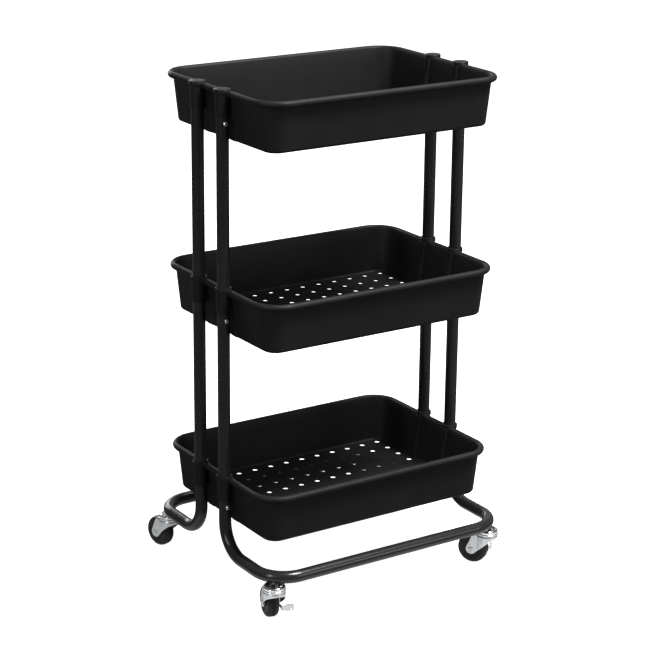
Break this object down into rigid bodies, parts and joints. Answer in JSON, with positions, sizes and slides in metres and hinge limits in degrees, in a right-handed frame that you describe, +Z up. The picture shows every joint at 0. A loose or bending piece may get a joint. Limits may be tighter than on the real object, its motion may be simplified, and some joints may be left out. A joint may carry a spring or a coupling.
{
  "type": "three-tier rolling cart",
  "caption": "Rolling cart with deep rounded tubs stacked on paired steel tube posts, bent tube feet and swivel casters, the front ones with side brakes.",
  "frame": {"origin": "middle of the footprint at floor level, with the casters as they stand at rest", "axes": "+X along the long side to the right, +Y towards the back, +Z up; the front is -Y"},
  "size_m": [0.448, 0.3904, 0.7873],
  "materials": {
    "tub_plastic": "moulded black plastic, fine texture, satin",
    "cap_plastic": "moulded black plastic, smoother than the tubs",
    "tube_powder_coat": "semi-gloss black powder coat on steel tube",
    "screw_zinc": "bright zinc-plated steel",
    "caster_zinc": "zinc-plated pressed steel",
    "caster_chrome": "bright plated steel",
    "brake_plate": "bright plated steel",
    "wheel_plastic": "hard black plastic, slightly scuffed"
  },
  "bodies": {
    "frame": {"front_base_tube": "tube_powder_coat", "front_left_cap": "cap_plastic", "front_left_lower_post": "tube_powder_coat", "front_left_nut": "caster_zinc", "front_left_raceway": "caster_chrome", "front_left_stem": "caster_zinc", "front_left_upper_post": "tube_powder_coat", "front_right_cap": "cap_plastic", "front_right_lower_post": "tube_powder_coat", "front_right_nut": "caster_zinc", "front_right_raceway": "caster_chrome", "front_right_stem": "caster_zinc", "front_right_upper_post": "tube_powder_coat", "lower_front_left_screw": "screw_zinc", "lower_front_right_screw": "screw_zinc", "lower_rear_left_screw": "screw_zinc", "lower_rear_right_screw": "screw_zinc", "lower_tub": "tub_plastic", "middle_front_left_screw": "screw_zinc", "middle_front_right_screw": "screw_zinc", "middle_rear_left_screw": "screw_zinc", "middle_rear_right_screw": "screw_zinc", "middle_tub": "tub_plastic", "rear_base_tube": "tube_powder_coat", "rear_left_cap": "cap_plastic", "rear_left_lower_post": "tube_powder_coat", "rear_left_nut": "caster_zinc", "rear_left_raceway": "caster_chrome", "rear_left_stem": "caster_zinc", "rear_left_upper_post": "tube_powder_coat", "rear_right_cap": "cap_plastic", "rear_right_lower_post": "tube_powder_coat", "rear_right_nut": "caster_zinc", "rear_right_raceway": "caster_chrome", "rear_right_stem": "caster_zinc", "rear_right_upper_post": "tube_powder_coat", "upper_front_left_screw": "screw_zinc", "upper_front_right_screw": "screw_zinc", "upper_rear_left_screw": "screw_zinc", "upper_rear_right_screw": "screw_zinc", "upper_tub": "tub_plastic"},
    "front_left_swivel": {"front_left_fork": "caster_zinc", "front_left_axle": "caster_zinc"},
    "front_left_wheel": {"front_left_wheel": "wheel_plastic"},
    "front_left_brake": {"front_left_brake": "brake_plate"},
    "front_right_swivel": {"front_right_fork": "caster_zinc", "front_right_axle": "caster_zinc"},
    "front_right_wheel": {"front_right_wheel": "wheel_plastic"},
    "front_right_brake": {"front_right_brake": "brake_plate"},
    "rear_left_swivel": {"rear_left_fork": "caster_zinc", "rear_left_axle": "caster_zinc"},
    "rear_left_wheel": {"rear_left_wheel": "wheel_plastic"},
    "rear_right_swivel": {"rear_right_fork": "caster_zinc", "rear_right_axle": "caster_zinc"},
    "rear_right_wheel": {"rear_right_wheel": "wheel_plastic"}
  },
  "joints": [
    {"name": "front_left_swivel_turn", "type": "hinge", "parent": "frame", "child": "front_left_swivel", "pos_m": [-0.19939, -0.16982, 0.057], "axis": [0, 0, 1], "continuous": true},
    {"name": "front_left_wheel_spin", "type": "hinge", "parent": "front_left_swivel", "child": "front_left_wheel", "pos_m": [-0.19395, -0.14799, 0.0245], "axis": [-0.9703, 0.2419, 0], "continuous": true},
    {"name": "front_left_brake_press", "type": "hinge", "parent": "front_left_swivel", "child": "front_left_brake", "pos_m": [-0.19395, -0.14799, 0.0245], "axis": [0.9703, -0.2419, 0], "range_deg": [0, 30]},
    {"name": "front_right_swivel_turn", "type": "hinge", "parent": "frame", "child": "front_right_swivel", "pos_m": [0.19795, -0.16982, 0.057], "axis": [0, 0, 1], "continuous": true},
    {"name": "front_right_wheel_spin", "type": "hinge", "parent": "front_right_swivel", "child": "front_right_wheel", "pos_m": [0.18602, -0.15074, 0.0245], "axis": [-0.848, -0.5299, 0], "continuous": true},
    {"name": "front_right_brake_press", "type": "hinge", "parent": "front_right_swivel", "child": "front_right_brake", "pos_m": [0.18602, -0.15074, 0.0245], "axis": [0.848, 0.5299, 0], "range_deg": [0, 30]},
    {"name": "rear_left_swivel_turn", "type": "hinge", "parent": "frame", "child": "rear_left_swivel", "pos_m": [-0.19939, 0.14841, 0.057], "axis": [0, 0, 1], "continuous": true},
    {"name": "rear_left_wheel_spin", "type": "hinge", "parent": "rear_left_swivel", "child": "rear_left_wheel", "pos_m": [-0.20484, 0.17024, 0.0245], "axis": [-0.9703, -0.2419, 0], "continuous": true},
    {"name": "rear_right_swivel_turn", "type": "hinge", "parent": "frame", "child": "rear_right_swivel", "pos_m": [0.19795, 0.14841, 0.057], "axis": [0, 0, 1], "continuous": true},
    {"name": "rear_right_wheel_spin", "type": "hinge", "parent": "rear_right_swivel", "child": "rear_right_wheel", "pos_m": [0.19481, 0.17069, 0.0245], "axis": [-0.9903, -0.1392, 0], "continuous": true}
  ]
}
